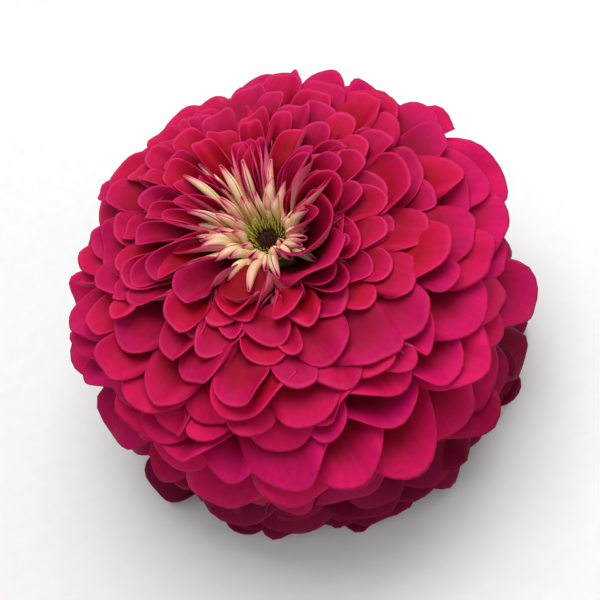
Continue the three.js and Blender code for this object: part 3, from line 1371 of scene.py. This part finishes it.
SETTLE_REACH = 4.0  # how far through another blade a blade may stick and still be pushed back, in mm
SETTLE_GAP = 0.5  # how far apart two blades settle, in mm
SETTLE_FACING = 0.85  # how squarely a point has to face another blade to be pushed under it
SETTLE_PASSES = 3  # how often each blade is pressed, and evened in between
SETTLE_TURNS = 140  # how many younger blades are looked at
SETTLE_SLACK = 1.1  # how much wider than they are blades count as when they may meet


class Spacing(Enum):
    """How the columns of a blank are spread across it."""

    EVEN = "even"
    TO_THE_SIDES = "to the sides"


@dataclass
class Layer:
    """One blade's sheet while the blades settle against each other, in mm."""

    blade: Blade
    points: np.ndarray
    faces: list[tuple[int, ...]]
    edges: np.ndarray

    def tree(self) -> BVHTree:
        """The sheet as a surface that can be searched."""
        return BVHTree.FromPolygons([tuple(point) for point in self.points], self.faces)

    def evened(self, shift: np.ndarray) -> np.ndarray:
        """Spreads a shift of the points over their neighbours.

        Args:
            shift: How far each point moves.

        Returns:
            The mean of each point's shift and its neighbours'.
        """
        total, count = shift.copy(), np.ones(len(shift))
        for a, b in (self.edges.T, self.edges.T[::-1]):
            np.add.at(total, a, shift[b])
            np.add.at(count, a, 1)
        return total / count[:, None]

    def lift_off_floor(self) -> None:
        """Lays whatever has been pressed through the surface flat on it."""
        self.points[:, 2] = np.maximum(self.points[:, 2], FLOOR_GAP)

    def push_under(self, tree: BVHTree) -> np.ndarray:
        """Works out how each point above another sheet gets to just under it.

        Args:
            tree: The other sheet.

        Returns:
            The points' shifts, with none for a point that is under it already.
        """
        shift = np.zeros_like(self.points)
        for i, point in enumerate(self.points):
            spot, normal, _, away = tree.find_nearest(Vector(point), SETTLE_REACH)
            if spot is None:
                continue
            height = (Vector(point) - spot).dot(normal)
            faces = abs(height) > SETTLE_FACING * away or away < SETTLE_GAP
            if height > -SETTLE_GAP and faces:
                shift[i] = -np.array(normal) * (height + SETTLE_GAP)
        return shift


def overlaps(a: Blade, b: Blade) -> bool:
    """Whether two blades' sides can meet, by their directions."""
    turn = abs((a.azimuth - b.azimuth + math.pi) % math.tau - math.pi)
    return turn * min(a.tip[0], b.tip[0]) < SETTLE_SLACK * (a.half_width + b.half_width)


def settle(layers: list[Layer]) -> None:
    """Presses each blade under the younger ones that lie over it, from the youngest down.

    Args:
        layers: The blades' sheets, from the oldest to the youngest.
    """
    trees = [None] * len(layers)
    for number in reversed(range(len(layers))):
        layer = layers[number]
        above = range(number + 1, min(number + SETTLE_TURNS, len(layers)))
        near = [i for i in above if overlaps(layer.blade, layers[i].blade)]
        start = layer.points
        for turn in range(SETTLE_PASSES):
            for other in near:
                shift = layer.push_under(trees[other])
                if shift.any():
                    even = layer.evened(layer.evened(shift)) if turn == 0 else shift
                    layer.points = layer.points + np.where(shift.any(axis=1)[:, None], shift, even)
            if turn < SETTLE_PASSES - 1:
                layer.points = start + layer.evened(layer.evened(layer.points - start))
            layer.lift_off_floor()
        trees[number] = layer.tree()


@dataclass
class Blank:
    """A flat sheet of a few dozen faces, modelled once and copied for each blade."""

    site: Site
    rows: int
    columns: int
    thickness: float
    spacing: Spacing = Spacing.TO_THE_SIDES
    crowding: float = 1.25

    def build(self) -> Blank:
        """Models the sheet and keeps its points' places along and across a blade.

        Returns:
            The blank itself.
        """
        deselect()
        bpy.ops.mesh.primitive_grid_add(
            x_subdivisions=self.rows, y_subdivisions=self.columns, size=1, calc_uvs=True
        )
        self.sheet = bpy.context.object
        mesh = self.sheet.data
        spots = np.clip(point_array(self.sheet) + 0.5, 0, 1)
        self.along = 1.0 - (1.0 - spots[:, 0]) ** self.crowding
        self.across = 2.0 * spots[:, 1] - 1.0
        if self.spacing is Spacing.TO_THE_SIDES:
            self.across = np.sin(self.across * math.pi / 2)
        corners = np.empty(len(mesh.loops), dtype=np.int64)
        mesh.loops.foreach_get("vertex_index", corners)
        spread = np.stack([self.along, 0.5 + 0.5 * self.across], axis=-1)[corners]
        mesh.uv_layers[0].name = PETAL_MAP
        mesh.uv_layers[0].data.foreach_set("uv", spread.ravel())
        return self

    def lay(self, blades: list[Blade]) -> list[Layer]:
        """Lays out blades.

        Args:
            blades: The blades, from the oldest to the youngest.

        Returns:
            Their sheets, in the same order.
        """
        mesh = self.sheet.data
        faces = [tuple(face.vertices) for face in mesh.polygons]
        edges = np.array([tuple(edge.vertices) for edge in mesh.edges])
        return [
            Layer(blade, blade.points(self.along, self.across), faces, edges) for blade in blades
        ]

    def grow(self, name: str, layers: list[Layer], finishes: list[Finish]) -> Piece:
        """Makes one dressed piece of many blades.

        Args:
            name: The piece's name.
            layers: The laid out blades.
            finishes: The blades' upper side, underside and edge.

        Returns:
            The piece, with its blades' thickness and rounded edges.
        """
        copies = [
            copy_shaped(
                self.sheet,
                f"{name}_{number}",
                self.site.place(layer.points),
                layer.blade.age,
                layer.blade.tone,
            )
            for number, layer in enumerate(layers)
        ]
        piece = join(name, copies)
        dress(piece, finishes)
        apply_modifier(
            piece,
            "SOLIDIFY",
            thickness=self.thickness * self.site.unit,
            offset=0.0,
            material_offset=1,
            material_offset_rim=2,
        )
        smooth(piece)
        return piece

    def discard(self) -> None:
        """Takes the sheet away once its copies are made."""
        bpy.data.objects.remove(self.sheet)


# ---- spikes ----------------------------------------------------------------------------------


@dataclass(frozen=True)
class Spike:
    """Where one spike stands round the axis, and how far its tip lies out from and above its foot.

    All its measures are in mm but for its direction in radians, its bow, which is a share of its
    length, and its tone.
    """

    azimuth: float
    radius: float
    height: float
    out: float
    up: float
    thickness: float
    bow: float
    tone: float


@dataclass
class Spikes:
    """Slim spikes, modelled once as a cone and copied round the eye or the stem."""

    site: Site
    sides: int = 5
    tip: float = 0.12
    rings: tuple[float, ...] = (0.35, 0.7)

    def build(self) -> Spikes:
        """Models one spike of unit length and radius, standing on the origin.

        Returns:
            The spikes themselves.
        """
        deselect()
        bpy.ops.mesh.primitive_cone_add(
            vertices=self.sides, radius1=1.0, radius2=self.tip, depth=1.0, location=(0, 0, 0.5)
        )
        self.spike = bpy.context.object
        bpy.ops.object.transform_apply(location=True, rotation=True, scale=True)
        bpy.ops.object.mode_set(mode="EDIT")
        for height in self.rings:
            bpy.ops.mesh.select_all(action="SELECT")
            bpy.ops.mesh.bisect(plane_co=(0, 0, height), plane_no=(0, 0, 1))
        bpy.ops.object.mode_set(mode="OBJECT")
        self.shape = point_array(self.spike)
        return self

    def copy(self, name: str, spike: Spike) -> Piece:
        """Copies the spike to a place.

        Args:
            name: The copy's name.
            spike: Where it stands and how it leans.

        Returns:
            The copy, with its own mesh.
        """
        unit = self.site.unit
        out = Vector((math.cos(spike.azimuth), math.sin(spike.azimuth), 0))
        foot = self.site.axis + (out * spike.radius + Vector((0, 0, spike.height))) * unit
        lean = (out * spike.out + Vector((0, 0, spike.up))) * unit
        turn = np.array(lean.to_track_quat("Z", "Y").to_matrix())
        z = self.shape[:, 2]
        thickness = spike.thickness * unit
        local = self.shape * np.array([thickness, thickness, lean.length])
        local[:, 0] += spike.bow * lean.length * np.sin(z * math.pi)
        return copy_shaped(self.spike, name, local @ turn.T + np.array(foot), z, spike.tone)

    def gather(self, name: str, spikes: list[Spike]) -> Piece:
        """Makes one piece of many spikes.

        Args:
            name: The piece's name.
            spikes: Where they stand and how they lean.

        Returns:
            The piece.
        """
        return join(name, [self.copy(f"{name}_{i}", spike) for i, spike in enumerate(spikes)])

    def discard(self) -> None:
        """Takes the first spike away once its copies are made."""
        bpy.data.objects.remove(self.spike)


# ---- sub-assemblies --------------------------------------------------------------------------


@dataclass
class RayFlorets:
    """The crimson petals, in three tiers, on the receptacle that carries them."""

    site: Site
    kind: Kind = RAY
    strays: tuple[HandShaped, ...] = STRAYS  # the lowest petals that stick out
    cups: tuple[HandShaped, ...] = CUPS  # the florets beside the eye
    tiers: tuple[str, ...] = ("outer_petals", "middle_petals", "inner_petals")
    rows: int = 8
    columns: int = 8
    thickness: float = 0.34
    receptacle: Profile = (
        (2.0, 23.0),
        (7.0, 23.3),
        (10.2, 25.6),
        (11.2, 29.5),
        (10.4, 37.0),
        (8.6, 42.4),
        (6.6, 45.5),
        (2.0, 45.7),
    )

    def build(self) -> None:
        """Models every petal and the receptacle, and dresses them."""
        blank = Blank(self.site, self.rows, self.columns, self.thickness).build()
        strays = [stray.blade(number) for number, stray in enumerate(self.strays)]
        layers = blank.lay(strays + self.kind.blades())
        cups = blank.lay([cup.blade(number) for number, cup in enumerate(self.cups)])
        settle(layers + cups)
        share = math.ceil(len(layers) / len(self.tiers))
        face, edge = PetalFace(), PetalEdge()
        for tier, name in enumerate(self.tiers):
            own = layers[tier * share : (tier + 1) * share]
            piece = blank.grow(name, own, [face, PetalBack(), edge])
            hand_over(piece, "ray_florets")
        piece = blank.grow("cupped_petals", cups, [face, ChannelBack(), edge])
        hand_over(piece, "ray_florets")
        blank.discard()
        core = turned("receptacle", self.site, self.receptacle)
        smooth(core)
        dress(core, [Tissue("receptacle", (96, 84, 40), (150, 140, 78))])
        hand_over(core, "ray_florets")


@dataclass
class YoungFlorets:
    """The cream florets round the eye, still rolled into quills, and the half-open ones."""

    site: Site
    quills: Kind = YOUNG
    channels: Kind = CHANNEL
    rows: int = 7
    columns: int = 8
    crowding: float = 1.1
    thickness: float = 0.3
    collar: Profile = (
        (3.6, 46.0),
        (6.2, 46.0),
        (6.5, 46.6),
        (5.4, 47.6),
        (4.3, 48.1),
        (3.7, 47.8),
        (3.6, 46.2),
    )

    def build(self) -> None:
        """Models the quills, the half-open florets and the collar, and dresses them."""
        blank = Blank(
            self.site, self.rows, self.columns, self.thickness, Spacing.EVEN, self.crowding
        ).build()
        rolled = [QuillMouth(), QuillSkin(), QuillSkin()]
        half_open = [PetalFace(), ChannelBack(), PetalEdge()]
        for name, kind, finishes in (
            ("young_quills", self.quills, rolled),
            ("half_open_florets", self.channels, half_open),
        ):
            piece = blank.grow(name, blank.lay(kind.blades()), finishes)
            hand_over(piece, "young_florets")
        blank.discard()
        collar = turned("collar", self.site, self.collar)
        smooth(collar)
        dress(collar, [Tissue("collar", (110, 104, 40), (168, 160, 76))])
        hand_over(collar, "young_florets")


@dataclass
class Eye:
    """The disc florets: a fringe of yellow-green chaff round a dark brown hollow."""

    site: Site
    dome: Profile = (
        (3.3, 46.0),
        (3.5, 47.2),
        (3.2, 48.0),
        (2.8, 48.0),
        (2.4, 47.2),
        (1.6, 46.6),
        (0.4, 46.4),
    )
    chaff: int = 120
    chaff_radius: Keys = (2.0, 3.7)
    chaff_height: float = 47.5
    chaff_tilt: Keys = (8.0, 48.0)
    chaff_length: Keys = (1.5, 2.5)
    tallest: float = math.radians(110)  # the side where the chaff stands tallest
    buds: int = 26
    bud_radius: float = 1.9
    bud_height: float = 46.6
    bud_length: Keys = (1.0, 1.5)

    def build(self) -> None:
        """Models the dome, the chaff and the buds in the hollow, and dresses them."""
        dome = turned("eye_dome", self.site, self.dome)
        smooth(dome)
        dress(dome, [Tissue("hollow", (44, 16, 10), (88, 46, 24), grain=1800.0)])
        hand_over(dome, "disc_florets")
        spikes = Spikes(self.site).build()
        fringe = spikes.gather("chaff", [self.chaff_spike(i) for i in range(self.chaff)])
        buds = spikes.gather("hollow_buds", [self.bud(i) for i in range(self.buds)])
        spikes.discard()
        bud_skin = Tissue("bud", (54, 20, 14), (112, 62, 34), grain=2500.0)
        for piece, finish in ((fringe, ChaffSkin()), (buds, bud_skin)):
            smooth(piece)
            dress(piece, [finish])
            hand_over(piece, "disc_florets")

    def chaff_spike(self, number: int) -> Spike:
        """Works out one spike of the fringe, longer the further out it stands.

        Args:
            number: Its number, from the middle out.

        Returns:
            The spike.
        """
        share = (number + 0.5) / self.chaff
        azimuth = math.radians(number * GOLDEN_ANGLE)
        tilt = math.radians(read_keys(self.chaff_tilt, share) + 24 * (draw(number, 31) - 0.5))
        length = read_keys(self.chaff_length, share) + 1.2 * draw(number, 32)
        length *= 0.72 + 0.38 * math.cos(azimuth - self.tallest)
        return Spike(
            azimuth=azimuth,
            radius=read_keys(self.chaff_radius, share),
            height=self.chaff_height,
            out=math.sin(tilt) * length,
            up=math.cos(tilt) * length,
            thickness=0.26,
            bow=0.06,
            tone=draw(number, 33),
        )

    def bud(self, number: int) -> Spike:
        """Works out one short bud in the hollow, which leans inwards.

        Args:
            number: Its number, from the middle out.

        Returns:
            The bud.
        """
        length = read_keys(self.bud_length, draw(number, 34))
        return Spike(
            azimuth=math.radians(number * GOLDEN_ANGLE),
            radius=self.bud_radius * math.sqrt((number + 0.5) / self.buds),
            height=self.bud_height,
            out=-0.2 * length,
            up=length,
            thickness=0.34,
            bow=0.0,
            tone=draw(number, 35),
        )


@dataclass
class Calyx:
    """The green cup under the head, clad in overlapping scales."""

    site: Site
    kind: Kind = BRACT
    rows: int = 6
    columns: int = 6
    thickness: float = 0.5
    cup: Profile = (
        (1.5, 11.0),
        (4.4, 11.2),
        (8.2, 13.6),
        (10.8, 17.6),
        (11.7, 22.0),
        (11.7, 25.3),
        (10.7, 25.3),
        (7.2, 23.0),
        (1.5, 22.7),
    )

    def build(self) -> None:
        """Models the cup and its scales, and dresses them."""
        cup = turned("calyx_cup", self.site, self.cup)
        smooth(cup)
        dress(cup, [Tissue("calyx_cup", (70, 90, 38), (112, 132, 66), grain=700.0)])
        hand_over(cup, "calyx")
        blank = Blank(self.site, self.rows, self.columns, self.thickness).build()
        scales = blank.grow("calyx_scales", blank.lay(self.kind.blades()), [ScaleSkin()])
        blank.discard()
        hand_over(scales, "calyx")


@dataclass
class Stem:
    """The short cut stub of stem: ribbed, and set with stiff hairs."""

    site: Site
    profile: Profile = (
        (1.2, 1.5),
        (2.35, 1.52),
        (2.5, 1.8),
        (2.52, 5.4),
        (2.62, 8.8),
        (2.7, 10.6),
        (1.2, 10.7),
    )
    cut_height: float = 1.7
    ribs: int = 12
    rib_inset: float = 0.12
    rib_depth: float = 0.16
    hairs: int = 150
    hair_radius: float = 2.45
    hair_height: Keys = (2.0, 10.2)
    hair_length: Keys = (0.6, 1.6)

    def build(self) -> None:
        """Models the stub and its hairs, and dresses them."""
        stub = turned("stem_stub", self.site, self.profile, self.ribs * 2)
        self.groove(stub)
        smooth(stub, 2)
        green = Tissue("stem_skin", (82, 112, 46), (132, 156, 78), 600.0, (1, 1, 0.12), 0.00015)
        pith = Tissue("stem_pith", (176, 184, 124), (218, 220, 176), 1500.0)
        dress(stub, [green, pith])
        cut = self.site.axis.z + self.cut_height * self.site.unit
        for face in stub.data.polygons:
            face.material_index = int(face.center.z < cut and face.normal.z < -0.7)
        hand_over(stub, "stem")
        spikes = Spikes(self.site).build()
        hairs = spikes.gather("stem_hairs", [self.hair(i) for i in range(self.hairs)])
        spikes.discard()
        dress(hairs, [Tissue("stem_hair", (196, 206, 160), (228, 232, 200), 1500.0)])
        hand_over(hairs, "stem")

    def groove(self, stub: Piece) -> None:
        """Sinks every other side of the stub, so that ribs stand between them.

        Args:
            stub: The turned stub.
        """
        only(stub)
        bpy.ops.object.mode_set(mode="EDIT")
        bpy.ops.mesh.select_all(action="DESELECT")
        bpy.ops.object.mode_set(mode="OBJECT")
        step = math.tau / (self.ribs * 2)
        for face in stub.data.polygons:
            spot = face.center - self.site.axis
            side = int(math.atan2(spot.y, spot.x) // step)
            upright = abs(face.normal.z) < 0.3
            face.select = upright and side % 2 == 0
        bpy.ops.object.mode_set(mode="EDIT")
        unit = self.site.unit
        bpy.ops.mesh.inset(thickness=self.rib_inset * unit, depth=-self.rib_depth * unit)
        bpy.ops.object.mode_set(mode="OBJECT")

    def hair(self, number: int) -> Spike:
        """Works out one hair.

        Args:
            number: Its number, from the cut up.

        Returns:
            The hair.
        """
        length = read_keys(self.hair_length, draw(number, 37))
        return Spike(
            azimuth=math.radians(number * GOLDEN_ANGLE),
            radius=self.hair_radius,
            height=read_keys(self.hair_height, (number + 0.5) / self.hairs),
            out=length,
            up=0.5 * (draw(number, 36) - 0.3) * length,
            thickness=0.05,
            bow=0.05,
            tone=draw(number, 38),
        )


# ---- studio ----------------------------------------------------------------------------------


@dataclass(frozen=True)
class Lamp:
    """A square light: its name, its way from the bloom, its size in metres and its power."""

    name: str
    right: float
    up: float
    back: float
    size: float
    power: float


@dataclass
class Studio:
    """A pale floor, soft light from overhead and the camera, in metres and degrees."""

    site: Site
    elevation: float = 56.0
    roll: float = 28.0
    lens: float = 70.0
    sensor: float = 36.0
    view: float = 0.1222  # width of the view at the bloom
    shift: tuple[float, float] = (0.0006, -0.0012)
    aim: float = 0.027
    lamps: tuple[Lamp, ...] = (
        Lamp("overhead_light", right=-0.15, up=0.8, back=0.7, size=0.4, power=2.2),
        Lamp("front_light", right=0.5, up=0.0, back=1.0, size=0.6, power=0.3),
    )
    lamp_distance: float = 0.5
    sky: float = 0.52
    floor: float = 6.0

    def axes(self) -> tuple[Vector, Vector, Vector]:
        """Works out how the camera is turned.

        Returns:
            The view's right, up and backward directions.
        """
        e, r = math.radians(self.elevation), math.radians(self.roll)
        back = Vector((0, -math.cos(e), math.sin(e)))
        flat_up, flat_right = Vector((0, math.sin(e), math.cos(e))), Vector((1, 0, 0))
        up = flat_up * math.cos(r) + flat_right * math.sin(r)
        right = flat_right * math.cos(r) - flat_up * math.sin(r)
        return right, up, back

    def build(self) -> None:
        """Sets the camera, the lights and the floor."""
        right, up, back = self.axes()
        middle = self.site.axis + Vector((0, 0, self.aim))
        target = middle + right * self.shift[0] + up * self.shift[1]
        self.set_camera(right, up, back, target)
        for lamp in self.lamps:
            self.hang(lamp, target, right * lamp.right + up * lamp.up + back * lamp.back)
        self.set_sky()
        self.lay_floor()

    def set_camera(self, right: Vector, up: Vector, back: Vector, target: Vector) -> None:
        """Stands the camera back from the bloom.

        Args:
            right: The view's right.
            up: The view's up.
            back: The way from the bloom to the camera.
            target: Where the camera looks.
        """
        lens = bpy.data.cameras.new("camera")
        lens.lens, lens.sensor_width = self.lens, self.sensor
        camera = bpy.data.objects.new("camera", lens)
        bpy.context.scene.collection.objects.link(camera)
        place = Matrix((right, up, back)).transposed().to_4x4()
        place.translation = target + back * (self.view * self.lens / self.sensor)
        camera.matrix_world = place
        bpy.context.scene.camera = camera

    def hang(self, lamp: Lamp, target: Vector, towards: Vector) -> None:
        """Hangs a square light.

        Args:
            lamp: The light.
            target: Where it shines.
            towards: The way from there to the light.
        """
        source = bpy.data.lights.new(lamp.name, "AREA")
        source.size, source.energy = lamp.size, lamp.power
        light = bpy.data.objects.new(lamp.name, source)
        bpy.context.scene.collection.objects.link(light)
        way = towards.normalized()
        light.location = target + way * self.lamp_distance
        light.rotation_mode = "QUATERNION"
        light.rotation_quaternion = way.to_track_quat("Z", "Y")

    def set_sky(self) -> None:
        """Fills the shade with an even white light."""
        world = bpy.data.worlds.new("studio")
        world.use_nodes = True
        sky = world.node_tree.nodes["Background"]
        sky.inputs["Color"].default_value = (1, 1, 1, 1)
        sky.inputs["Strength"].default_value = self.sky
        scene = bpy.context.scene
        scene.world = world
        scene.view_settings.view_transform = "Standard"

    def lay_floor(self) -> None:
        """Lays the surface just under the bloom."""
        deselect()
        bpy.ops.mesh.primitive_plane_add(size=self.floor, location=self.site.axis)
        floor = bpy.context.object
        floor.name = "floor"
        bpy.ops.object.transform_apply(location=True, rotation=True, scale=True)
        dress(floor, [Tissue("floor_paper", (236, 236, 236), (239, 239, 239), 300.0, relief=1e-6)])
        floor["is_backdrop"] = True


def main() -> None:
    """Builds the studio and every sub-assembly."""
    logging.basicConfig(level=logging.INFO, format="%(name)s: %(message)s")
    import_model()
    site = Site.from_frame()
    Studio(site).build()
    for assembly in (RayFlorets(site), YoungFlorets(site), Eye(site), Calyx(site), Stem(site)):
        assembly.build()


if __name__ == "__main__":
    main()
